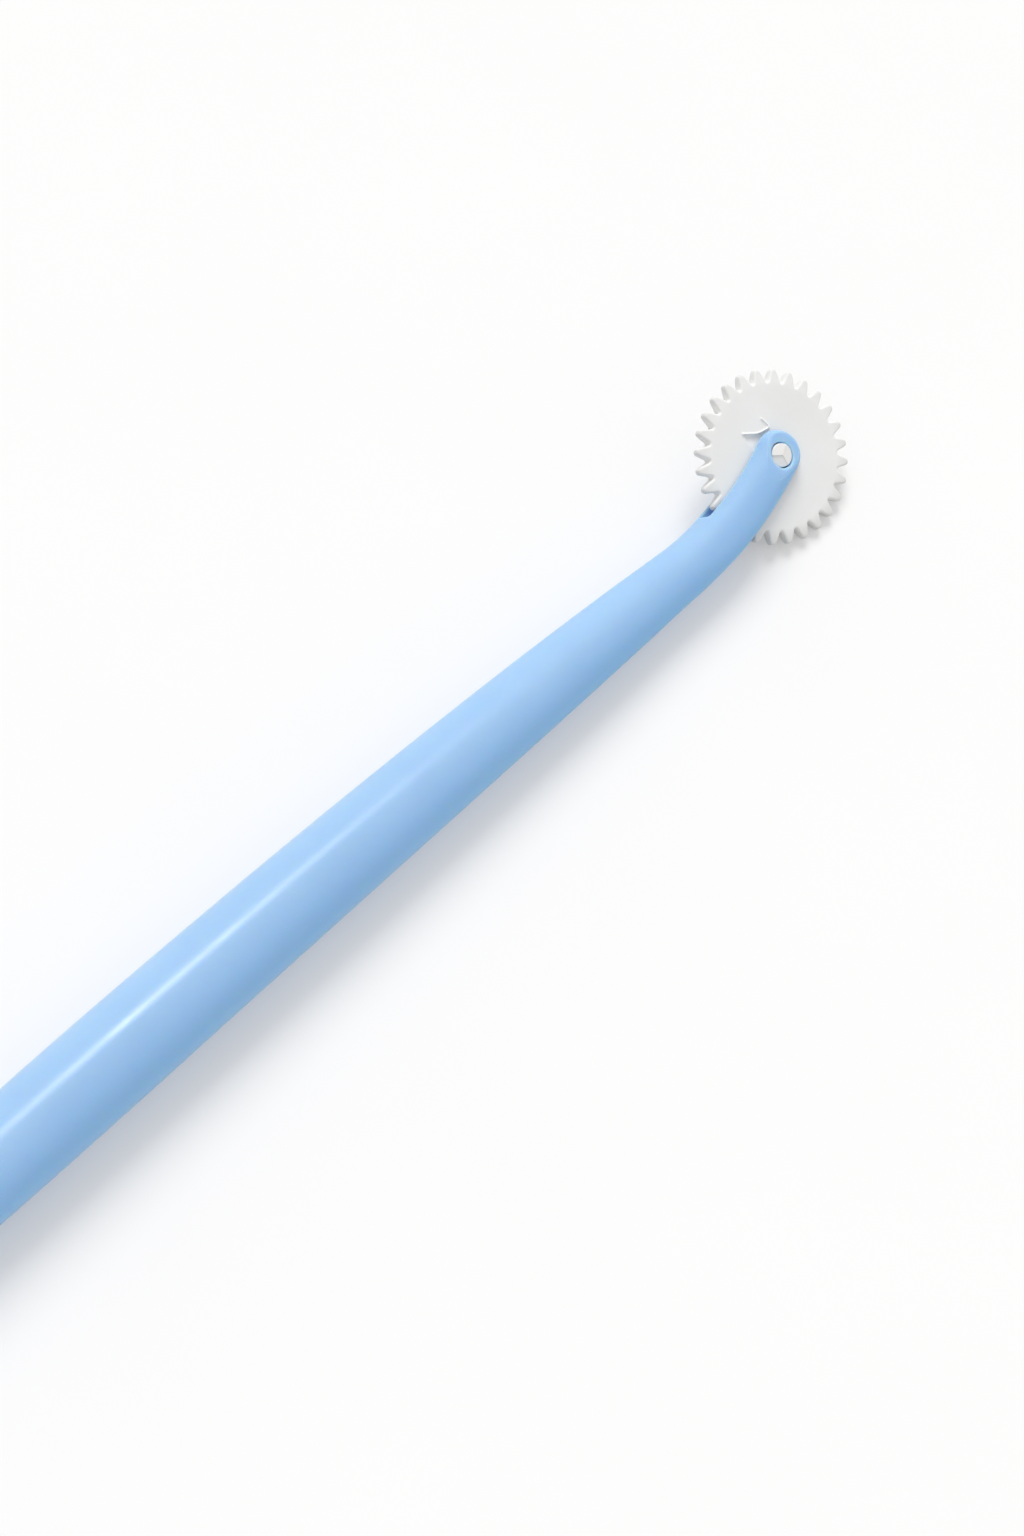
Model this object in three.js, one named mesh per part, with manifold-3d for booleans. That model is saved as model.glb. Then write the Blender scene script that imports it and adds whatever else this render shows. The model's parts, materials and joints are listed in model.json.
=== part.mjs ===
// A fondant wheel tool: a moulded handle with a bent fork, and a toothed wheel that spins in it on a pin.
// Millimetres, +Z up. The tool lies on a table as it does at rest, on its grip and on the wheel's rim.
import * as THREE from "three";
import { mergeVertices } from "three/addons/utils/BufferGeometryUtils.js";
import Module from "manifold-3d";

// Driving dimensions. Pieces are drawn round the wheel's centre, with the axle along Z and the grip along X.
const WHEEL_RADIUS = 10;
const WHEEL_THICKNESS = 1.5;
const TOOTH_COUNT = 28;
const TOOTH_DEPTH = 1.42;
const TOOTH_TIP_WIDTH = 0.8;
const TOOTH_GAP_WIDTH = 0.36;
const TOOTH_PHASE = THREE.MathUtils.degToRad(167.5);
const WHEEL_EDGE_ROUND = 0.3;
const WHEEL_EDGE_STEPS = 3;

const PIN_RADIUS = 1.35;
const PIN_HALF_LENGTH = 2.5;
const PIN_POINT_HEIGHT = 0.3;
const PIN_POINT_TURN = THREE.MathUtils.degToRad(118);
const PRESS_GAP = 0.03;
const RUNNING_GAP = 0.15;

const ARM_HEADING = THREE.MathUtils.degToRad(22.6);
const BEND_ANGLE = THREE.MathUtils.degToRad(23.9);
const BEND_RADIUS = 44;
const GRIP_BOW_RADIUS = 2330;
const TAIL_DISTANCE = 152;
const TAIL_DOME = 6;
const TAIL_FLAT_SHARE = 0.45;
const EYE_RADIUS = 3.08;
const SLOT_WIDTH = 2.1;
const SLOT_CLEARANCE = 1.5;
const EYE_PAD_HEIGHT = 2.42;
const EYE_PAD_SLOPE = THREE.MathUtils.degToRad(10);

// Sections of the handle: distance behind the axle along its bent axis, half-width in the wheel's plane,
// half-thickness along the axle, and squareness, where 2 is an ellipse and more is flatter sided.
const SECTIONS = [
  { back: 152, wide: 4, thick: 4, square: 2 },
  { back: 132, wide: 4.95, thick: 4.95, square: 2 },
  { back: 112, wide: 5.27, thick: 5.27, square: 2 },
  { back: 90, wide: 5.15, thick: 5.15, square: 2 },
  { back: 68, wide: 4.85, thick: 4.85, square: 2 },
  { back: 44, wide: 4.28, thick: 4.28, square: 2 },
  { back: 28, wide: 3.7, thick: 3.7, square: 2 },
  { back: 20, wide: 3.3, thick: 3.32, square: 2 },
  { back: 15, wide: 3.05, thick: 3.25, square: 2.3 },
  { back: 11, wide: 2.98, thick: 3.25, square: 2.5 },
  { back: 6, wide: 2.96, thick: 3.2, square: 2.4 },
  { back: 0, wide: EYE_RADIUS, thick: 3, square: 2.3 },
  { back: -EYE_RADIUS, wide: EYE_RADIUS, thick: 2.3, square: 2.3 },
];

// The way the tool lies: rolled about its grip, then pitched nose down.
const REST_ROLL = THREE.MathUtils.degToRad(26.9);
const REST_PITCH = THREE.MathUtils.degToRad(0.822);

// Distances behind the axle of the grip's rings. The long facet between 92 and 66 is the one that it lies on.
const GRIP_RINGS = [TAIL_DISTANCE - TAIL_DOME, 132, 118, 92, 66, 44, 34];
const DOME_STEPS = 5;
const NECK_START = 24;
const NECK_STEPS = 18;
const EYE_STEPS = 8;
const EYE_TURN = THREE.MathUtils.degToRad(84);

// Points round each ring of the handle, turned so that one narrow facet of the grip lies flat on the table.
const RING_POINTS = 40;
const RING_START = Math.PI / RING_POINTS - Math.PI / 2 - REST_ROLL;
const PIN_SIDES = 36;
const SLOT_SIDES = 72;
const MERGE_DISTANCE = 1e-4;

// Plain colours of the plastics.
const HANDLE_BLUE = 0x93c4f5;
const WHEEL_WHITE = 0xe8e8e6;
const PIN_WHITE = 0xe0dfdd;
const HANDLE_ROUGHNESS = 0.3;
const WHITE_ROUGHNESS = 0.4;

const wasm = await Module();
wasm.setup();

// A closed geometry as a solid that can be joined and cut.
function solidOf(geometry) {
  const bare = geometry.clone();
  bare.deleteAttribute("normal");
  bare.deleteAttribute("uv");
  const merged = mergeVertices(bare, MERGE_DISTANCE);
  return new wasm.Manifold(
    new wasm.Mesh({
      numProp: 3,
      vertProperties: new Float32Array(merged.attributes.position.array),
      triVerts: new Uint32Array(merged.index.array),
    }),
  );
}

function geometryOf(solid) {
  const mesh = solid.getMesh();
  const geometry = new THREE.BufferGeometry();
  geometry.setAttribute("position", new THREE.BufferAttribute(mesh.vertProperties, 3));
  geometry.setIndex(new THREE.BufferAttribute(mesh.triVerts, 1));
  geometry.computeVertexNormals();
  return geometry;
}

// The handle's axis, walked back from the axle: the bend of the arms and neck, then the grip's faint bow.
const AXIS_ARCS = [
  { length: BEND_RADIUS * BEND_ANGLE, turn: -1 / BEND_RADIUS },
  { length: TAIL_DISTANCE, turn: 1 / GRIP_BOW_RADIUS },
];

// The point on the handle's axis at a distance behind the axle, and the axis's heading there.
// In front of the axle the axis runs straight on.
function axisAt(back) {
  const ahead = Math.max(0, -back);
  let x = ahead * Math.cos(ARM_HEADING);
  let y = ahead * Math.sin(ARM_HEADING);
  let heading = ARM_HEADING;
  let left = Math.max(0, back);
  for (const { length, turn } of AXIS_ARCS) {
    const next = heading + turn * Math.min(left, length);
    x -= (Math.sin(next) - Math.sin(heading)) / turn;
    y -= (Math.cos(heading) - Math.cos(next)) / turn;
    heading = next;
    left = Math.max(0, left - length);
  }
  return { x, y, heading };
}

// A smooth curve through one measure of the sections.
function measureAlong(name) {
  const points = SECTIONS.map((s) => new THREE.Vector2(-s.back, s[name]));
  const slopes = points.map((p, i) => {
    const before = points[Math.max(0, i - 1)];
    const after = points[Math.min(points.length - 1, i + 1)];
    return (after.y - before.y) / (after.x - before.x);
  });
  return (back) => {
    const x = -back;
    const i = Math.max(0, points.findLastIndex((p, k) => p.x <= x && k < points.length - 1));
    const span = points[i + 1].x - points[i].x;
    const t = (x - points[i].x) / span;
    const start = points[i].y * (1 + 2 * t) * (1 - t) ** 2 + slopes[i] * span * t * (1 - t) ** 2;
    const end = points[i + 1].y * t * t * (3 - 2 * t) + slopes[i + 1] * span * t * t * (t - 1);
    return start + end;
  };
}

const wideAt = measureAlong("wide");
const thickAt = measureAlong("thick");
const squareAt = measureAlong("square");

// Distances behind the axle of the rings that the handle is lofted through.
function ringDistances() {
  const rings = [];
  const flat = Math.acos(TAIL_FLAT_SHARE);
  for (let i = DOME_STEPS; i > 0; i--) {
    const turn = (flat * i) / DOME_STEPS;
    rings.push(TAIL_DISTANCE - TAIL_DOME * (1 - Math.sin(turn) / Math.sin(flat)));
  }
  rings.push(...GRIP_RINGS);
  for (let i = 0; i < NECK_STEPS; i++) {
    rings.push(THREE.MathUtils.lerp(NECK_START, 0, i / NECK_STEPS));
  }
  for (let i = 0; i <= EYE_STEPS; i++) {
    rings.push(-EYE_RADIUS * Math.sin((EYE_TURN * i) / EYE_STEPS));
  }
  return rings;
}

// How much the rounded ends draw a ring in: the tail in both directions, the eye only in the wheel's plane.
function tailShare(back) {
  const reach = Math.max(0, back - TAIL_DISTANCE + TAIL_DOME) / TAIL_DOME;
  const flat = Math.acos(TAIL_FLAT_SHARE);
  return Math.sqrt(1 - (reach * Math.sin(flat)) ** 2);
}

function eyeShare(back) {
  const reach = Math.max(0, -back) / EYE_RADIUS;
  return Math.sqrt(1 - reach ** 2);
}

function ringPoints(back) {
  const { x, y, heading } = axisAt(back);
  const wide = wideAt(back) * tailShare(back) * eyeShare(back);
  const thick = thickAt(back) * tailShare(back);
  const power = 2 / squareAt(back);
  const points = [];
  for (let i = 0; i < RING_POINTS; i++) {
    const turn = RING_START + (2 * Math.PI * i) / RING_POINTS;
    const across = wide * Math.sign(Math.cos(turn)) * Math.abs(Math.cos(turn)) ** power;
    const up = thick * Math.sign(Math.sin(turn)) * Math.abs(Math.sin(turn)) ** power;
    points.push(x - across * Math.sin(heading), y + across * Math.cos(heading), up);
  }
  return points;
}

// Rings joined into one closed skin, with a flat fan over each end.
function loft(rings) {
  const positions = rings.flat();
  const index = [];
  const count = RING_POINTS;
  for (let r = 0; r + 1 < rings.length; r++) {
    for (let i = 0; i < count; i++) {
      const a = r * count + i;
      const b = r * count + ((i + 1) % count);
      index.push(a, b, a + count, b, b + count, a + count);
    }
  }
  const last = (rings.length - 1) * count;
  for (let i = 1; i + 1 < count; i++) {
    index.push(0, i + 1, i);
    index.push(last, last + i, last + i + 1);
  }
  const geometry = new THREE.BufferGeometry();
  geometry.setAttribute("position", new THREE.Float32BufferAttribute(positions, 3));
  geometry.setIndex(index);
  return geometry;
}

// A cylinder along Z, centred on the origin.
function rod(radius, height, sides) {
  return new THREE.CylinderGeometry(radius, radius, height, sides).rotateX(Math.PI / 2);
}

// The block above one eye, whose slanted underside leaves the flat pad round the hole.
function padBlock(side) {
  const size = 4 * EYE_RADIUS;
  return new THREE.BoxGeometry(size, size, size)
    .translate(0, 0, size / 2)
    .rotateY(EYE_PAD_SLOPE)
    .translate(0, 0, EYE_PAD_HEIGHT)
    .rotateX(side > 0 ? 0 : Math.PI)
    .rotateZ(ARM_HEADING);
}

function handleGeometry() {
  const holeRadius = PIN_RADIUS + RUNNING_GAP;
  const slotRadius = WHEEL_RADIUS + SLOT_CLEARANCE;
  const cuts = [
    rod(slotRadius, SLOT_WIDTH, SLOT_SIDES),
    rod(holeRadius, 4 * EYE_PAD_HEIGHT, PIN_SIDES),
    padBlock(1),
    padBlock(-1),
  ];
  const body = solidOf(loft(ringDistances().map(ringPoints)));
  return geometryOf(cuts.reduce((left, cut) => left.subtract(solidOf(cut)), body));
}

// The wheel's outline: blunt teeth with straight flanks, and a round valley between two teeth.
function wheelOutline() {
  const root = WHEEL_RADIUS - TOOTH_DEPTH;
  const pitch = (2 * Math.PI) / TOOTH_COUNT;
  const tip = TOOTH_TIP_WIDTH / 2 / WHEEL_RADIUS;
  const gap = TOOTH_GAP_WIDTH / 2 / root;
  const tipRound = TOOTH_TIP_WIDTH / 3;
  const gapRound = TOOTH_GAP_WIDTH / 4;
  const half = [
    [pitch / 2, root],
    [pitch / 2 - gap, root + gapRound],
    [tip, WHEEL_RADIUS - tipRound],
    [tip / 2, WHEEL_RADIUS],
  ];
  const outline = [];
  for (let tooth = 0; tooth < TOOTH_COUNT; tooth++) {
    const middle = TOOTH_PHASE + tooth * pitch;
    const rising = half.map(([turn, radius]) => [middle - turn, radius]);
    const falling = half.slice(1).map(([turn, radius]) => [middle + turn, radius]);
    for (const [turn, radius] of [...rising, ...falling.reverse()]) {
      outline.push(new THREE.Vector2(radius * Math.cos(turn), radius * Math.sin(turn)));
    }
  }
  return new THREE.Shape(outline);
}

function wheelGeometry() {
  const plate = new THREE.ExtrudeGeometry(wheelOutline(), {
    depth: WHEEL_THICKNESS - 2 * WHEEL_EDGE_ROUND,
    bevelThickness: WHEEL_EDGE_ROUND,
    bevelSize: WHEEL_EDGE_ROUND,
    bevelOffset: -WHEEL_EDGE_ROUND,
    bevelSegments: WHEEL_EDGE_STEPS,
  }).translate(0, 0, WHEEL_EDGE_ROUND - WHEEL_THICKNESS / 2);
  const boreRadius = PIN_RADIUS + PRESS_GAP;
  const bore = rod(boreRadius, 2 * WHEEL_THICKNESS, PIN_SIDES);
  return geometryOf(solidOf(plate).subtract(solidOf(bore)));
}

// The pin: a plain rod whose two ends are blunt three-sided points, which lead it into the eyes.
function pinGeometry() {
  const height = 4 * PIN_HALF_LENGTH;
  const reach = (height * PIN_RADIUS) / PIN_POINT_HEIGHT;
  const point = new THREE.ConeGeometry(2 * reach, height, 3)
    .rotateX(Math.PI / 2)
    .rotateZ(PIN_POINT_TURN)
    .translate(0, 0, PIN_HALF_LENGTH - height / 2);
  const farPoint = point.clone().rotateX(Math.PI);
  const shank = solidOf(rod(PIN_RADIUS, 2 * PIN_HALF_LENGTH, PIN_SIDES));
  return geometryOf(shank.intersect(solidOf(point)).intersect(solidOf(farPoint)));
}

function plastic(color, roughness) {
  return new THREE.MeshStandardMaterial({ color, roughness, metalness: 0 });
}

function piece(name, geometry, material) {
  const mesh = new THREE.Mesh(geometry, material);
  mesh.name = name;
  return mesh;
}

const lying = new THREE.Group();
lying.rotation.set(REST_ROLL, REST_PITCH, 0, "YXZ");
lying.add(piece("handle", handleGeometry(), plastic(HANDLE_BLUE, HANDLE_ROUGHNESS)));
lying.add(piece("toothed_wheel", wheelGeometry(), plastic(WHEEL_WHITE, WHITE_ROUGHNESS)));
lying.add(piece("axle_pin", pinGeometry(), plastic(PIN_WHITE, WHITE_ROUGHNESS)));

// The origin is on the table, under the middle of the tool.
const tool = new THREE.Group();
tool.add(lying);
const box = new THREE.Box3().setFromObject(lying, true);
const middle = box.getCenter(new THREE.Vector3());
lying.position.set(-middle.x, -middle.y, -box.min.z);

export default tool;
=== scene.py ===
# A fondant wheel tool lying on a pale table: the looks of its handle, toothed wheel and axle pin.
# Shapes are drawn in millimetres round the wheel's centre, with the axle along Z and the grip along -X,
# then laid on the table as the solids lie.
import json
import math

import bmesh
import bpy
import numpy as np
from mathutils import Matrix, Vector


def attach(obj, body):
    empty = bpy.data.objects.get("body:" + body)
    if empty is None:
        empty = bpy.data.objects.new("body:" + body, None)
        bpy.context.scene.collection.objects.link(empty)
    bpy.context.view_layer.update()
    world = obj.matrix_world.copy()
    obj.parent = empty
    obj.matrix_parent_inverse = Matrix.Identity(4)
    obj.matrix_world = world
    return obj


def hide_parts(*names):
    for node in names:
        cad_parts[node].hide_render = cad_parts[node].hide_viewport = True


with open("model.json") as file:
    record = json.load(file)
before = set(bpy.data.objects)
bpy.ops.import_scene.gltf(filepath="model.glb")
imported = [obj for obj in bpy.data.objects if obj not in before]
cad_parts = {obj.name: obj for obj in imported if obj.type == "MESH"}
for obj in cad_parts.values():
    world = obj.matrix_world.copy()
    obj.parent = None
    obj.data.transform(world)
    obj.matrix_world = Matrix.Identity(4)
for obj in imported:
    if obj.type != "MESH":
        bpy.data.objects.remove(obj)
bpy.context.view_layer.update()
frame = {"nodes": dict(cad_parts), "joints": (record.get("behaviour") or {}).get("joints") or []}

MM = 0.001

# How the tool lies: rolled about its grip, then pitched nose down.
REST_ROLL = math.radians(26.9)
REST_PITCH = math.radians(0.822)

# The handle's bent axis, walked back from the axle, and the dome at its tail with the flat on its end.
ARM_HEADING = math.radians(22.6)
BEND_ANGLE = math.radians(23.9)
BEND_RADIUS = 44.0
GRIP_BOW_RADIUS = 2330.0
TAIL_DISTANCE = 152.0
TAIL_DOME = 6.0
TAIL_FLAT_SHARE = 0.45

# Sections of the handle: distance behind the axle, half-width in the wheel's plane, half-thickness along
# the axle, and squareness, where 2 is an ellipse and more is flatter sided. The last two are at the middle
# and the tip of the eyes.
EYE_RADIUS = 3.08
SECTIONS = (
    (TAIL_DISTANCE, 4.0, 4.0, 2.0),
    (132.0, 4.95, 4.95, 2.0),
    (112.0, 5.27, 5.27, 2.0),
    (90.0, 5.15, 5.15, 2.0),
    (68.0, 4.85, 4.85, 2.0),
    (44.0, 4.28, 4.28, 2.0),
    (28.0, 3.7, 3.7, 2.0),
    (20.0, 3.3, 3.32, 2.0),
    (15.0, 3.05, 3.25, 2.3),
    (11.0, 2.98, 3.25, 2.5),
    (6.0, 2.96, 3.2, 2.4),
    (0.0, EYE_RADIUS, 3.0, 2.4),
    (-EYE_RADIUS, EYE_RADIUS, 2.5, 4.0),
)

# The fork's slot, its eyes' holes, its pads with the crease round them, and how far edges are rounded.
SLOT_RADIUS = 11.5
SLOT_HALF = 1.05
SLOT_ROUND = 0.3
SLOT_CORNER_ROUND = 0.5
HOLE_RADIUS = 1.5
HOLE_ROUND = 0.28
PAD_HEIGHT = 2.42
PAD_SLOPE = math.radians(13)
PAD_ROUND = 0.06
CREASE_DEPTH = 0.035
CREASE_HALF = 0.06
TAIL_ROUND = 0.9

# The skin of the handle: how far it is drawn in to stay inside the solid's facets, the grip's facet size,
# and how far behind the axle the facets are halved.
SKIN_INSET = 0.03
SKIN_FACET = 0.25
FINE_BACK = 21.0

# How the skin settles on its form: rounds of evening out before each settling, the share evened in each,
# the steps of a settling, and the step and the least steepness of the slope that they follow.
EVEN_ROUNDS = (16, 8, 4)
EVEN_SHARE = 0.5
SETTLE_STEPS = 6
SLOPE_STEP = 0.01
LEAST_STEEPNESS = 0.25

# How sharply the skin bends where an edge's wear starts and where it is full.
EDGE_BENDS = (0.8, 3.0)

# The wheel.
WHEEL_RADIUS = 10.0
WHEEL_HALF = 0.75
BORE_RADIUS = 1.38
RIM_ROUND = 0.25

# Its blunt teeth. The shares are of half the pitch, from a tooth's middle: where its tip ends and where its
# valley starts.
TOOTH_COUNT = 28
TOOTH_DEPTH = 1.5
TOOTH_PHASE = math.radians(167.5)
TIP_SHARE = 0.28
VALLEY_SHARE = 0.8
TIP_ROUND = 0.5
VALLEY_ROUND = 0.5

# The teeth's thinning: the radius where it starts, how slowly it sets in, and half the tips' thickness.
TAPER_START = 8.3
TAPER_BEND = 1.5
TIP_HALF = 0.48

# How finely the wheel is drawn: steps to each tooth, rings over each face, and steps round a rounded edge.
TOOTH_STEPS = 32
FRONT_RINGS = 128
BACK_RINGS = 12
RIM_STEPS = 6

# The gate's mark on the wheel's front face: a lip, its curled end, the step down below it and the step's
# near side.
LIP = (
    (-1.9, 4.42), (-1.36, 4.02), (-0.86, 3.69), (-0.34, 3.39),
    (0.12, 3.23), (0.58, 3.13), (1.0, 3.08), (1.3, 3.1),
)
LIP_HEIGHT = 0.24
LIP_HALF = 0.12
CURL = ((1.3, 3.1), (1.42, 3.3), (1.4, 3.6), (1.3, 4.0), (1.18, 4.4))
CURL_HEIGHT = 0.17
CURL_HALF = 0.1
STEP_DEPTH = 0.3
STEP_REACH = 2.0
STEP_END = 1.15
STEP_EDGE = ((-1.83, 4.3), (-2.06, 2.0))
STEP_SOFTNESS = 0.07
STEP_FADE = 0.4

# The axle pin: its blunt three-sided points, whose flats drop a little out of step, and its rounded edge.
PIN_RADIUS = 1.35
PIN_HALF = 2.5
PIN_POINT = 0.22
PIN_POINT_TURN = math.radians(88)
PIN_FLAT_DROPS = (0.0, 0.1, 0.03)
PIN_EDGE = 0.12
PIN_SIDES = 240
PIN_RINGS = 30

# The camera: its direction from the table, the point of the table in the middle of its view, and its lens.
CAMERA_AZIMUTH = math.radians(-64.89)
CAMERA_ELEVATION = math.radians(66.087)
CAMERA_ROLL = math.radians(21.73)
CAMERA_AIM = Vector((23.488, -6.363, 0.0)) * MM
CAMERA_DISTANCE = 395.27 * MM
CAMERA_NEAR = 10 * MM
CAMERA_LENS = 84.375
CAMERA_SENSOR = 36.0

# The side that the light comes from. The handle carries painted shade: below the first of these cosines to
# that side its colour is a more saturated painted shade blue, and over the second it is its own colour.
LIGHT_TOWARD = (0.3945, 0.5403, 0.7433)
PAINTED_SHADE_RANGE = (-0.2, 0.7)

# How fine the noises in the plastics and the table are, the range of noise that is used, the height of the
# plastics' grain, and how strongly they bend light.
CLOUD_DETAIL = 4.0
GLOSS_DETAIL = 3.0
GRAIN_DETAIL = 2.0
TABLE_DETAIL = 3.0
NOISE_RANGE = (0.3, 0.7)
GRAIN_HEIGHT = 0.1 * MM
PLASTIC_IOR = 1.5

# The table top, in metres: its two tones, the clouds of them to each metre, and how much paler it is seen.
TABLE_HALF = 1.5
TABLE_DEEP = (0.677, 0.672, 0.668, 1)
TABLE_PALE = (0.684, 0.679, 0.675, 1)
TABLE_CLOUDS = 30.0
TABLE_ROUGHNESS = 0.9
TABLE_LIFT = 0.25

# The light, in metres: even from all round, a broad key, and a strip lamp that the grip mirrors as a gleam.
LIGHT_WHITE = (1, 1, 1, 1)
EVEN_LIGHT = 0.64
KEY_STRENGTH = 1.9
KEY_BREADTH = math.radians(30)
GLEAM_FROM = Vector((-43.0, 0.0, 10.4)) * MM
GLEAM_TOWARD = Vector((0.283, 0.481, 0.830))
GLEAM_DISTANCE = 1.0
GLEAM_WIDTH = 0.07
GLEAM_LENGTH = 0.112
GLEAM_POWER = 4.5

# A mix node has sockets of one name for each kind of value, so its sockets for colours go by their places.
MIX_SHARE = 0
MIX_FIRST = 6
MIX_SECOND = 7
MIX_RESULT = 2


def lay_down():
    """The matrix from the drawing's millimetres to the tool's place on the table, in metres."""
    axle = Vector(frame["joints"][0]["pos_m"])
    turn = Matrix.Rotation(REST_PITCH, 4, "Y") @ Matrix.Rotation(REST_ROLL, 4, "X")
    return Matrix.Translation(axle) @ turn @ Matrix.Scale(MM, 4)


LAY_DOWN = lay_down()


def smooth_max(a, b, rounding):
    """The larger of two distances, with the edge where they meet rounded."""
    near = np.clip(rounding - np.abs(a - b), 0, None)
    return np.maximum(a, b) + near * near / (4 * rounding)


def smooth_min(a, b, rounding):
    """The smaller of two distances, with the edge where they meet rounded."""
    return -smooth_max(-a, -b, rounding)


def new_object(name, data):
    """A new object in the scene."""
    thing = bpy.data.objects.new(name, data)
    bpy.context.scene.collection.objects.link(thing)
    return thing


def new_piece(name, vertices, edges, faces, body, node, material):
    """A mesh drawn in millimetres, laid on the table in the place of one solid."""
    mesh = bpy.data.meshes.new(name)
    mesh.from_pydata([Vector(v) for v in vertices], [], faces)
    mesh.transform(LAY_DOWN)
    mesh.update()
    mark_edges(mesh, edges)
    finish_piece(new_object(name, mesh), body, node, material)


def finish_piece(piece, body, node, material):
    """Give a piece its smooth shading and material, the body it rides and the solid it replaces."""
    piece.data.shade_smooth()
    piece.data.materials.clear()
    piece.data.materials.append(material)
    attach(piece, body)
    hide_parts(node)


def mark_edges(mesh, edges):
    """Note for each vertex how near it is to an edge that wears, or to a tooth's tip, which takes painted
    shade, from 0 to 1.
    """
    mesh.attributes.new("edge", "FLOAT", "POINT").data.foreach_set("value", edges.astype(np.float32))


# The handle.


def section_at(back):
    """Half-width, half-thickness and squareness of the handle, as smooth curves through its sections."""
    table = np.array(SECTIONS)
    places = -table[:, 0]
    at = np.clip(-back, places[0], places[-1])
    i = np.clip(np.searchsorted(places, at, side="right") - 1, 0, len(places) - 2)
    span = places[i + 1] - places[i]
    t = (at - places[i]) / span
    before = np.maximum(np.arange(len(places)) - 1, 0)
    after = np.minimum(np.arange(len(places)) + 1, len(places) - 1)
    curves = []
    for values in table[:, 1:].T:
        slopes = (values[after] - values[before]) / (places[after] - places[before])
        start = values[i] * (1 + 2 * t) * (1 - t) ** 2 + slopes[i] * span * t * (1 - t) ** 2
        end = values[i + 1] * t * t * (3 - 2 * t) + slopes[i + 1] * span * t * t * (t - 1)
        curves.append(start + end)
    return curves


def along_axis(x, y):
    """Distance behind the axle and offset to the side, measured from the handle's bent axis."""
    back = -x * math.cos(ARM_HEADING) - y * math.sin(ARM_HEADING)
    across = y * math.cos(ARM_HEADING) - x * math.sin(ARM_HEADING)
    arcs = ((BEND_RADIUS * BEND_ANGLE, -1 / BEND_RADIUS), (TAIL_DISTANCE, 1 / GRIP_BOW_RADIUS))
    start_x, start_y, start, heading = 0.0, 0.0, 0.0, ARM_HEADING
    for length, turn in arcs:
        to_x = x - start_x - math.sin(heading) / turn
        to_y = y - start_y + math.cos(heading) / turn
        angle = np.arctan2(-turn * to_x, turn * to_y)
        offset = math.copysign(1, turn) * (np.hypot(to_x, to_y) - abs(1 / turn))
        reached = back > start
        back = np.where(reached, start + (angle - heading) / turn, back)
        across = np.where(reached, offset, across)
        ahead = heading + turn * length
        start_x -= (math.sin(ahead) - math.sin(heading)) / turn
        start_y -= (math.cos(heading) - math.cos(ahead)) / turn
        start += length
        heading = ahead
    return back, across


def handle_depth(points):
    """How far points are outside the handle's rounded form; negative inside."""
    x, y, z = points.T
    height = np.abs(z)
    back, across = along_axis(x, y)
    wide, thick, square = section_at(back)
    flat = math.acos(TAIL_FLAT_SHARE)
    reach = np.clip((back - TAIL_DISTANCE + TAIL_DOME) / TAIL_DOME, 0, 1)
    share = np.sqrt(1 - (reach * math.sin(flat)) ** 2)
    beside = np.hypot(across, np.minimum(back, 0))
    ratio = (beside / (wide * share)) ** square + (height / (thick * share)) ** square
    skin = (ratio ** (1 / square) - 1) * np.sqrt(wide * thick) * share + SKIN_INSET
    skin = smooth_max(skin, back - TAIL_DISTANCE, TAIL_ROUND)
    toward_tip = x * math.cos(ARM_HEADING) + y * math.sin(ARM_HEADING)
    pad = (height - PAD_HEIGHT) * math.cos(PAD_SLOPE) + toward_tip * math.sin(PAD_SLOPE)
    crease = CREASE_DEPTH * np.exp(-(((skin - pad) / CREASE_HALF) ** 2))
    skin = smooth_max(skin, pad, PAD_ROUND) + crease
    from_axle = np.hypot(x, y)
    slot = smooth_max(from_axle - SLOT_RADIUS, height - SLOT_HALF, SLOT_CORNER_ROUND)
    skin = smooth_max(skin, -slot, SLOT_ROUND)
    return smooth_max(skin, HOLE_RADIUS - from_axle, HOLE_ROUND)


def depth_beside(points):
    """handle_depth a small step to either side of points along each axis."""
    steps = SLOPE_STEP * np.eye(3)
    return [(handle_depth(points + step), handle_depth(points - step)) for step in steps]


def skin_slope(points):
    """How fast handle_depth grows along each axis at points."""
    rises = [ahead - behind for ahead, behind in depth_beside(points)]
    return np.stack(rises, axis=1) / (2 * SLOPE_STEP)


def settle_on_skin(points):
    """Points moved along the slope of handle_depth until they lie on the handle's skin."""
    for _ in range(SETTLE_STEPS):
        slope = skin_slope(points)
        steep = np.maximum((slope * slope).sum(1), LEAST_STEEPNESS)
        move = np.clip(handle_depth(points) / steep, -SKIN_FACET, SKIN_FACET)
        points = points - move[:, None] * slope
    return points


def outward(points):
    """The direction straight out of the handle's rounded form at points."""
    slope = skin_slope(points)
    return slope / np.linalg.norm(slope, axis=1)[:, None]


def edge_shares(points):
    """How sharply the skin bends out at points, from 0 on the grip to 1 on an edge."""
    pairs = depth_beside(points)
    around = sum(ahead + behind for ahead, behind in pairs)
    bend = (around - 2 * len(pairs) * handle_depth(points)) / SLOPE_STEP**2
    low, high = EDGE_BENDS
    return np.clip((bend - low) / (high - low), 0, 1)


def wrapped_solid(node, name):
    """A new object, in the drawing's millimetres, with an even skin of small facets over a solid."""
    mesh = frame["nodes"][node].data.copy()
    mesh.name = name
    mesh.transform(LAY_DOWN.inverted())
    piece = new_object(name, mesh)
    remesh = piece.modifiers.new("skin", "REMESH")
    remesh.mode = "VOXEL"
    remesh.voxel_size = SKIN_FACET
    bpy.context.view_layer.update()
    evaluated = piece.evaluated_get(bpy.context.evaluated_depsgraph_get())
    skin = bpy.data.meshes.new_from_object(evaluated)
    piece.modifiers.clear()
    piece.data = skin
    return piece


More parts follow.
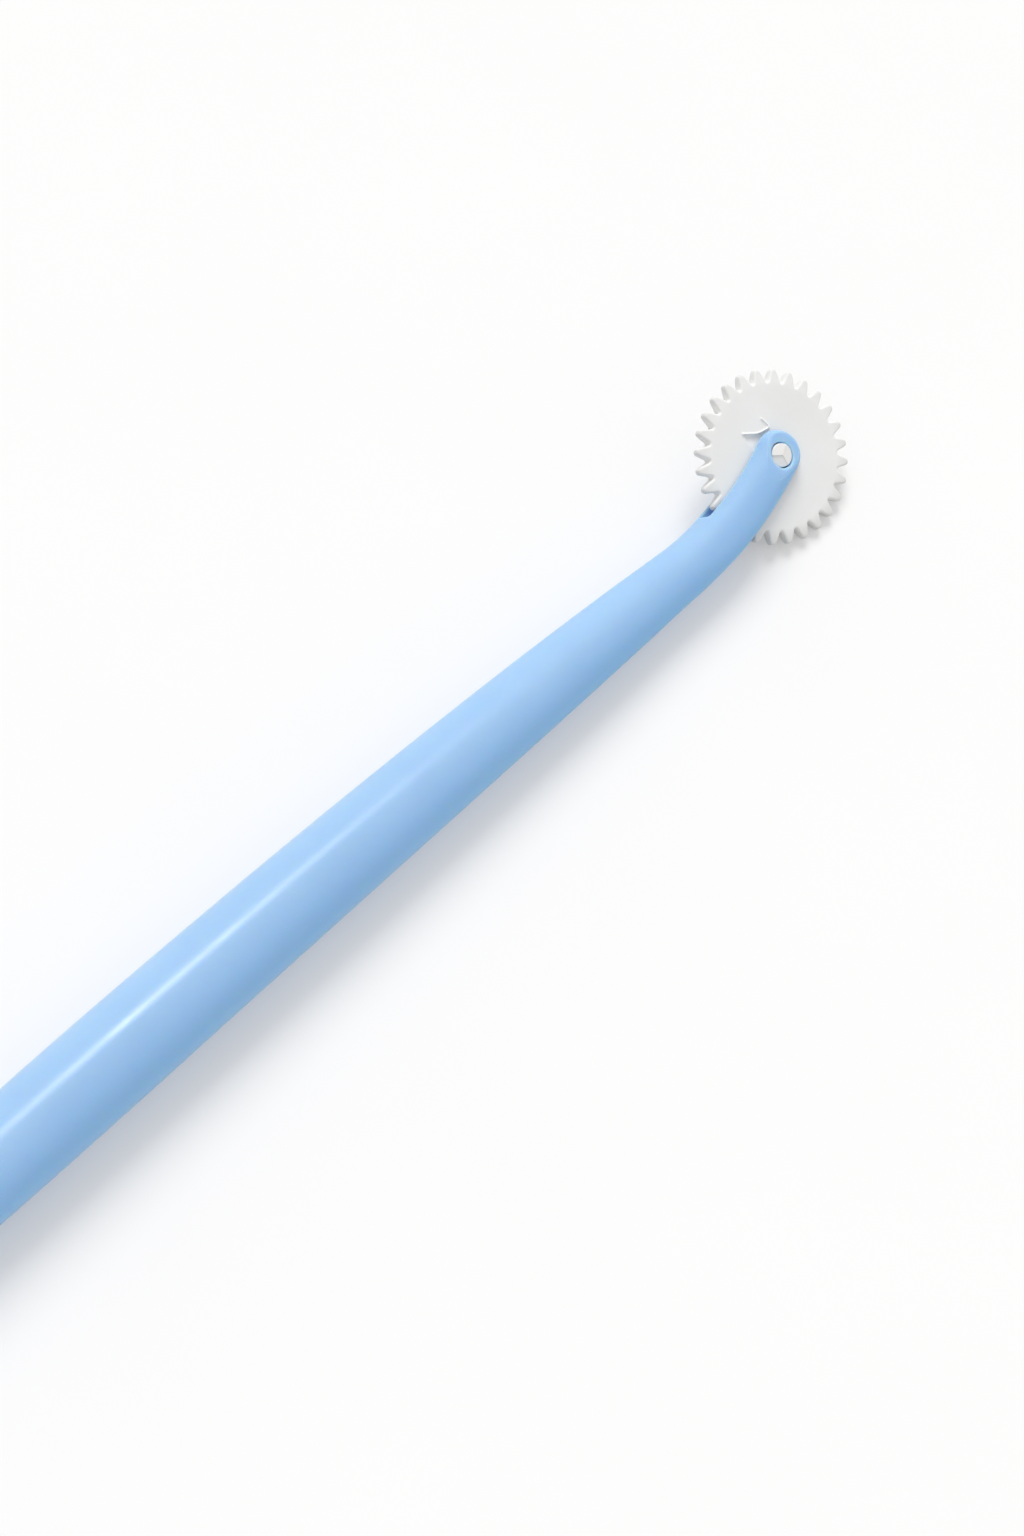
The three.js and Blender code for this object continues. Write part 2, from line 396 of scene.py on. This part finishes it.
def is_fine(edge):
    """Whether an edge of the handle's skin is where the facets are halved."""
    return all(v.co.x > -FINE_BACK for v in edge.verts)


def make_handle(material):
    """The one-piece handle: an even skin over the solid, finer at the fork, settled on its rounded form."""
    piece = wrapped_solid("handle", "handle_moulding")
    skin = piece.data
    work = bmesh.new()
    work.from_mesh(skin)
    fine = [edge for edge in work.edges if is_fine(edge)]
    bmesh.ops.subdivide_edges(work, edges=fine, cuts=1, use_grid_fill=True)
    every_axis = {"use_axis_x": True, "use_axis_y": True, "use_axis_z": True}
    for rounds in EVEN_ROUNDS:
        for _ in range(rounds):
            bmesh.ops.smooth_vert(work, verts=work.verts, factor=EVEN_SHARE, **every_axis)
        places = settle_on_skin(np.array([v.co for v in work.verts], float))
        for vertex, place in zip(work.verts, places):
            vertex.co = place
    work.to_mesh(skin)
    work.free()
    mark_edges(skin, edge_shares(places))
    skin.transform(LAY_DOWN)
    finish_piece(piece, "handle", "handle", material)
    turn = np.array(LAY_DOWN.to_quaternion().to_matrix())
    skin.normals_split_custom_set_from_vertices(outward(places) @ turn.T)


# The wheel.


def tooth_outline(inset):
    """The wheel's edge, drawn in by an inset: blunt teeth with straight flanks and round valleys."""
    phase = np.arange(TOOTH_COUNT * TOOTH_STEPS) / TOOTH_STEPS
    share = 2 * np.abs(phase - np.round(phase))
    top = WHEEL_RADIUS - inset
    root = top - TOOTH_DEPTH
    slope = TOOTH_DEPTH / (VALLEY_SHARE - TIP_SHARE)
    rise = slope / (math.pi * WHEEL_RADIUS / TOOTH_COUNT)
    flank = WHEEL_RADIUS - inset * math.hypot(1, rise) - slope * (share - TIP_SHARE)
    radius = smooth_max(flank, np.full_like(flank, root), VALLEY_ROUND)
    radius = smooth_min(radius, np.full_like(flank, top), TIP_ROUND)
    angles = TOOTH_PHASE + phase * 2 * math.pi / TOOTH_COUNT
    return radius[:, None] * np.stack([np.cos(angles), np.sin(angles)], axis=1)


def tooth_share(vertices):
    """How far out along the teeth points of the wheel are, from 0 inside their roots to 1 at their tips."""
    out = np.hypot(vertices[:, 0], vertices[:, 1]) - TAPER_START
    return np.clip(out / (WHEEL_RADIUS - TAPER_START), 0, 1)


def tapered(vertices):
    """Points of the wheel with its teeth thinned towards their tips."""
    thinner = tooth_share(vertices) ** TAPER_BEND * (1 - TIP_HALF / WHEEL_HALF)
    return vertices * np.column_stack([np.ones((len(vertices), 2)), 1 - thinner])


def off_path(x, y, path):
    """Distance from a path of lines, and the side of the nearest: 1 to its right, -1 to its left."""
    nearest = np.full(len(x), np.inf)
    side = np.ones(len(x))
    for (start_x, start_y), (end_x, end_y) in zip(path, path[1:]):
        along_x, along_y = end_x - start_x, end_y - start_y
        length = math.hypot(along_x, along_y)
        t = np.clip(((x - start_x) * along_x + (y - start_y) * along_y) / length**2, 0, 1)
        distance = np.hypot(x - start_x - t * along_x, y - start_y - t * along_y)
        turn = (y - start_y) * along_x - (x - start_x) * along_y
        side = np.where(distance < nearest, -np.sign(turn), side)
        nearest = np.minimum(distance, nearest)
    return nearest, side


def soft_step(value, softness):
    """0 below zero and 1 above it, with a smooth change between."""
    t = np.clip(value / softness * 0.5 + 0.5, 0, 1)
    return t * t * (3 - 2 * t)


def face_relief(x, y):
    """Height of the gate's mark over the wheel's front face."""
    from_lip, lip_side = off_path(x, y, LIP)
    from_curl, _ = off_path(x, y, CURL)
    lip = LIP_HEIGHT * np.exp(-((from_lip / LIP_HALF) ** 2))
    curl = CURL_HEIGHT * np.exp(-((from_curl / CURL_HALF) ** 2))
    from_edge, edge_side = off_path(x, y, STEP_EDGE)
    below = soft_step(lip_side * from_lip, STEP_SOFTNESS) * soft_step(-edge_side * from_edge, STEP_SOFTNESS)
    below *= soft_step(STEP_END - x, STEP_FADE) * np.clip(1 - from_lip / STEP_REACH, 0, 1)
    return np.maximum(lip, curl) - STEP_DEPTH * below


def closed_grid(rings, count, wrap):
    """Faces of rings of points joined one to the next, and the last to the first where wrap is set."""
    faces = []
    for r in range(rings if wrap else rings - 1):
        here = r * count
        there = ((r + 1) % rings) * count
        for i in range(count):
            j = (i + 1) % count
            faces.append((here + i, there + i, there + j, here + j))
    return faces


def make_wheel(material):
    """The wheel: rings of points from its bore over the front, round the rim and back over the far face."""
    inner = tooth_outline(RIM_ROUND)
    bore = inner * (BORE_RADIUS / np.hypot(*inner.T))[:, None]
    count = len(inner)
    rings = []
    for t in np.linspace(1, 0, FRONT_RINGS)[:-1]:
        ring = inner + (bore - inner) * t
        rings.append(np.column_stack([ring, WHEEL_HALF + face_relief(*ring.T)]))
    for side in (1, -1):
        turns = np.linspace(0, math.pi / 2, RIM_STEPS)
        for turn in turns if side > 0 else turns[::-1]:
            ring = tooth_outline(RIM_ROUND * (1 - math.sin(turn)))
            height = side * (WHEEL_HALF - RIM_ROUND * (1 - math.cos(turn)))
            rings.append(np.column_stack([ring, np.full(count, height)]))
    for t in np.linspace(0, 1, BACK_RINGS)[1:]:
        ring = inner + (bore - inner) * t
        rings.append(np.column_stack([ring, np.full(count, -WHEEL_HALF)]))
    vertices = np.concatenate(rings)
    # How far out along the teeth each point is, which also sets the teeth's painted shade.
    edges = tooth_share(vertices)
    faces = closed_grid(len(rings), count, wrap=True)
    new_piece("stitch_wheel", tapered(vertices), edges, faces, "wheel", "toothed_wheel", material)


# The pin.


def point_height(distance, angle):
    """Height of the pin's end over its rim: flats that rise to a blunt point, a little out of step."""
    count = len(PIN_FLAT_DROPS)
    flats = [np.cos(angle - PIN_POINT_TURN - k * 2 * math.pi / count) for k in range(count)]
    drops = np.array(PIN_FLAT_DROPS)[np.argmax(flats, axis=0)]
    return PIN_POINT * (1 - distance / PIN_RADIUS * np.max(flats, axis=0)) - drops


def make_pin(material):
    """The axle pin: rings of points from the middle of one end, along its side, to that of the other."""
    angles = np.arange(PIN_SIDES) * 2 * math.pi / PIN_SIDES
    circle = np.stack([np.cos(angles), np.sin(angles)], axis=1)
    ends = []
    for side in (1, -1):
        end = []
        for distance in np.linspace(0, PIN_RADIUS - PIN_EDGE, PIN_RINGS)[1:]:
            height = PIN_HALF - PIN_POINT + point_height(distance, angles)
            end.append((np.column_stack([distance * circle, side * height]), 0.0))
        rim = PIN_HALF - PIN_POINT + point_height(PIN_RADIUS - PIN_EDGE, angles)
        for turn in np.linspace(0, math.pi / 2, RIM_STEPS)[1:]:
            reach = PIN_RADIUS - PIN_EDGE * (1 - math.sin(turn))
            drop = PIN_EDGE * (1 - math.cos(turn))
            end.append((np.column_stack([reach * circle, side * (rim - drop)]), math.sin(2 * turn)))
        ends += end if side > 0 else end[::-1]
    vertices = np.concatenate([ring for ring, _ in ends] + [[[0, 0, PIN_HALF], [0, 0, -PIN_HALF]]])
    edges = np.concatenate([np.full(PIN_SIDES, edge) for _, edge in ends] + [np.zeros(2)])
    faces = closed_grid(len(ends), PIN_SIDES, wrap=False)
    top = len(vertices) - 2
    last = (len(ends) - 1) * PIN_SIDES
    for i in range(PIN_SIDES):
        j = (i + 1) % PIN_SIDES
        faces.append((top, i, j))
        faces.append((top + 1, last + j, last + i))
    new_piece("axle_pin_end", vertices, edges, faces, "wheel", "axle_pin", material)


# Materials.


def srgb(red, green, blue):
    """A colour written as 0 to 255, as the shader's linear colour."""
    shares = [c / 255 for c in (red, green, blue)]
    return [c / 12.92 if c <= 0.04045 else ((c + 0.055) / 1.055) ** 2.4 for c in shares] + [1.0]


def add(tree, kind, inputs=(), **settings):
    """A shader node with its settings, and its inputs set to values or linked to other nodes' outputs."""
    node = tree.nodes.new(kind)
    for name, value in settings.items():
        setattr(node, name, value)
    plug(tree, node, inputs)
    return node


def plug(tree, node, inputs):
    """Set a node's inputs to values, or link them to other nodes' outputs."""
    for name, value in dict(inputs).items():
        if isinstance(value, bpy.types.NodeSocket):
            tree.links.new(value, node.inputs[name])
        else:
            node.inputs[name].default_value = value


def noise(tree, place, scale, detail):
    """Cloudy values about 0.5, with a number of clouds to each metre."""
    node = add(tree, "ShaderNodeTexNoise", {"Vector": place, "Scale": scale, "Detail": detail})
    return node.outputs["Fac"]


def spread(tree, value, low, high, to_low, to_high):
    """A value from one range moved to another, and held inside it."""
    ranges = {"Value": value, "From Min": low, "From Max": high, "To Min": to_low, "To Max": to_high}
    return add(tree, "ShaderNodeMapRange", ranges).outputs["Result"]


def clouds(tree, place, scale, detail, low=0.0, high=1.0):
    """Noise spread over a range."""
    return spread(tree, noise(tree, place, scale, detail), *NOISE_RANGE, low, high)


def blend(tree, share, first, second):
    """A colour between two others."""
    node = add(tree, "ShaderNodeMix", data_type="RGBA")
    plug(tree, node, {MIX_SHARE: share, MIX_FIRST: first, MIX_SECOND: second})
    return node.outputs[MIX_RESULT]


def plastic_colour(tree, coordinates, look):
    """A clouded colour, with painted shade on the side turned from the light where the look has a painted
    shade colour, and mixed at the marked edges towards the look's edge colour: wear on the handle and pin,
    painted shade on the wheel's teeth.
    """
    cloud = clouds(tree, coordinates["Object"], look["clouds"], CLOUD_DETAIL)
    colour = blend(tree, cloud, look["deep"], look["pale"])
    # Painted shade: the side turned away from the light is tinted a more saturated blue.
    if "painted_shade" in look:
        sides = {0: coordinates["Normal"], 1: LIGHT_TOWARD}
        facing = add(tree, "ShaderNodeVectorMath", sides, operation="DOT_PRODUCT").outputs["Value"]
        colour = blend(tree, spread(tree, facing, *PAINTED_SHADE_RANGE, 1.0, 0.0), colour, look["painted_shade"])
    # Edges of the handle and pin are paler with wear; the wheel's teeth are painted darker out to their
    # tips as shade.
    edge = add(tree, "ShaderNodeAttribute", attribute_name="edge").outputs["Fac"]
    edge_wear_and_shade = spread(tree, edge, 0.0, 1.0, 0.0, look["wear_and_shade_amount"])
    return blend(tree, edge_wear_and_shade, colour, look["wear_and_shade"])


def plastic_gloss(tree, place, look):
    """An uneven roughness, which grows along the tool where the look is satin."""
    gloss = clouds(tree, place, look["gloss_clouds"], GLOSS_DETAIL, *look["roughness"])
    if "satin" in look:
        along = add(tree, "ShaderNodeSeparateXYZ", {"Vector": place}).outputs["X"]
        satin = spread(tree, along, *look["satin"])
        gloss = add(tree, "ShaderNodeMath", {0: gloss, 1: satin}, operation="ADD").outputs[0]
    return gloss


def moulded_plastic(name, look):
    """Moulded plastic with uneven colour and gloss, a fine grain, and light that sinks into it."""
    material = bpy.data.materials.new(name)
    material.use_nodes = True
    tree = material.node_tree
    coordinates = add(tree, "ShaderNodeTexCoord").outputs
    place = coordinates["Object"]
    colour = plastic_colour(tree, coordinates, look)
    gloss = plastic_gloss(tree, place, look)
    grain = noise(tree, place, look["grain"], GRAIN_DETAIL)
    relief = {"Height": grain, "Strength": look["bump"], "Distance": GRAIN_HEIGHT}
    surface = {
        "Base Color": colour,
        "Roughness": gloss,
        "Normal": add(tree, "ShaderNodeBump", relief).outputs["Normal"],
        "IOR": PLASTIC_IOR,
        "Specular IOR Level": look["shine"],
        "Subsurface Weight": look["inner_light"],
        "Subsurface Radius": look["light_reach"],
        "Subsurface Scale": MM,
    }
    plug(tree, tree.nodes["Principled BSDF"], surface)
    return material


# The looks. Clouds, gloss clouds and grain are counts to each metre, roughness is a range, and light reach
# is in millimetres for red, green and blue. Satin is a stretch along the tool, in metres, and the roughness
# that is added at its start and at its end.
BLUE = {
    "deep": srgb(157, 194, 230),
    "pale": srgb(162, 198, 233),
    # Painted shade, taken by the side of the handle turned away from the light.
    "painted_shade": srgb(151, 203, 254),
    "wear_and_shade": srgb(175, 209, 241),
    "clouds": 110.0,
    "gloss_clouds": 260.0,
    "grain": 3200.0,
    "bump": 0.05,
    "wear_and_shade_amount": 0.6,
    "roughness": (0.28, 0.33),
    "satin": (0.0, 0.04, 0.0, 0.25),
    "shine": 0.27,
    "inner_light": 0.6,
    "light_reach": (0.3, 0.7, 1.5),
}
WHITE = {
    "deep": srgb(240, 240, 238),
    "pale": srgb(244, 244, 243),
    # Painted shade: the teeth are darkened out to their tips, where light falls brighter on their thinned
    # fronts.
    "wear_and_shade": srgb(226, 226, 224),
    "clouds": 160.0,
    "gloss_clouds": 300.0,
    "grain": 3600.0,
    "bump": 0.08,
    "wear_and_shade_amount": 0.8,
    "roughness": (0.5, 0.6),
    "shine": 0.3,
    "inner_light": 0.1,
    "light_reach": (0.6, 0.55, 0.5),
}
PIN_WHITE = {
    **WHITE,
    "deep": srgb(235, 234, 232),
    "pale": srgb(240, 239, 237),
    "wear_and_shade": srgb(246, 246, 245),
    "wear_and_shade_amount": 0.3,
}


# The table, light and camera.


def looked_at(tree):
    """1 where a surface is seen, straight or in a mirror or glass, and 0 where it only lights others."""
    path = add(tree, "ShaderNodeLightPath").outputs
    seen = path["Is Camera Ray"]
    for ray in ("Is Glossy Ray", "Is Transmission Ray"):
        seen = add(tree, "ShaderNodeMath", {0: seen, 1: path[ray]}, operation="ADD").outputs[0]
    return seen


def make_table():
    """A wide pale table top with a faint unevenness of tone."""
    mesh = bpy.data.meshes.new("table")
    corners = [(-1, -1), (1, -1), (1, 1), (-1, 1)]
    mesh.from_pydata([(x * TABLE_HALF, y * TABLE_HALF, 0) for x, y in corners], [], [(0, 1, 2, 3)])
    table = new_object("table", mesh)
    material = bpy.data.materials.new("table")
    material.use_nodes = True
    tree = material.node_tree
    place = add(tree, "ShaderNodeTexCoord").outputs["Object"]
    tone = clouds(tree, place, TABLE_CLOUDS, TABLE_DETAIL)
    surface = {
        "Base Color": blend(tree, tone, TABLE_DEEP, TABLE_PALE),
        "Roughness": TABLE_ROUGHNESS,
        "Specular IOR Level": 0.0,
        "Emission Color": LIGHT_WHITE,
        "Emission Strength": spread(tree, looked_at(tree), 0.0, 1.0, 0.0, TABLE_LIFT),
    }
    plug(tree, tree.nodes["Principled BSDF"], surface)
    mesh.materials.append(material)


def aimed(right, up, back, place):
    """The matrix of a lamp or camera at a place, given the directions of its own X, Y and Z axes."""
    return Matrix.Translation(place) @ Matrix((right, up, back)).transposed().to_4x4()


def make_world():
    """Even light from all round, in a world that is white where it is seen."""
    world = bpy.data.worlds.new("studio")
    bpy.context.scene.world = world
    world.use_nodes = True
    tree = world.node_tree
    even = tree.nodes["Background"]
    plug(tree, even, {"Color": LIGHT_WHITE, "Strength": EVEN_LIGHT})
    white = add(tree, "ShaderNodeBackground", {"Color": LIGHT_WHITE, "Strength": 1.0})
    either = {0: looked_at(tree), 1: even.outputs[0], 2: white.outputs[0]}
    mix = add(tree, "ShaderNodeMixShader", either)
    tree.links.new(mix.outputs[0], tree.nodes["World Output"].inputs["Surface"])


def make_lamps():
    """A broad soft key, and a strip lamp that shows only as a gleam along the grip."""
    sun = bpy.data.lights.new("key", "SUN")
    sun.energy = KEY_STRENGTH
    sun.angle = KEY_BREADTH
    key = new_object("key", sun)
    key.rotation_euler = Vector(LIGHT_TOWARD).to_track_quat("Z", "Y").to_euler()
    key.visible_glossy = False

    strip = bpy.data.lights.new("gleam", "AREA")
    strip.shape = "RECTANGLE"
    strip.size = GLEAM_WIDTH
    strip.size_y = GLEAM_LENGTH
    strip.energy = GLEAM_POWER
    gleam = new_object("gleam", strip)
    back = GLEAM_TOWARD.normalized()
    length = back.cross(Vector((1, 0, 0))).normalized()
    gleam.matrix_world = aimed(length.cross(back), length, back, GLEAM_FROM + back * GLEAM_DISTANCE)
    gleam.visible_diffuse = False


def make_camera():
    """The camera, at the photograph's viewing angle."""
    back = Vector(
        (
            math.sin(CAMERA_AZIMUTH) * math.cos(CAMERA_ELEVATION),
            -math.cos(CAMERA_AZIMUTH) * math.cos(CAMERA_ELEVATION),
            math.sin(CAMERA_ELEVATION),
        )
    )
    level = Vector((math.cos(CAMERA_AZIMUTH), math.sin(CAMERA_AZIMUTH), 0))
    upright = back.cross(level)
    right = level * math.cos(CAMERA_ROLL) + upright * math.sin(CAMERA_ROLL)
    lens = bpy.data.cameras.new("camera")
    lens.lens = CAMERA_LENS
    lens.sensor_width = CAMERA_SENSOR
    lens.sensor_fit = "AUTO"
    lens.clip_start = CAMERA_NEAR
    camera = new_object("camera", lens)
    camera.matrix_world = aimed(right, back.cross(right), back, CAMERA_AIM + back * CAMERA_DISTANCE)
    bpy.context.scene.camera = camera


bpy.context.scene.view_settings.view_transform = "Standard"
make_camera()
make_world()
make_lamps()
make_table()
make_handle(moulded_plastic("blue_plastic", BLUE))
make_wheel(moulded_plastic("white_plastic", WHITE))
make_pin(moulded_plastic("pin_plastic", PIN_WHITE))
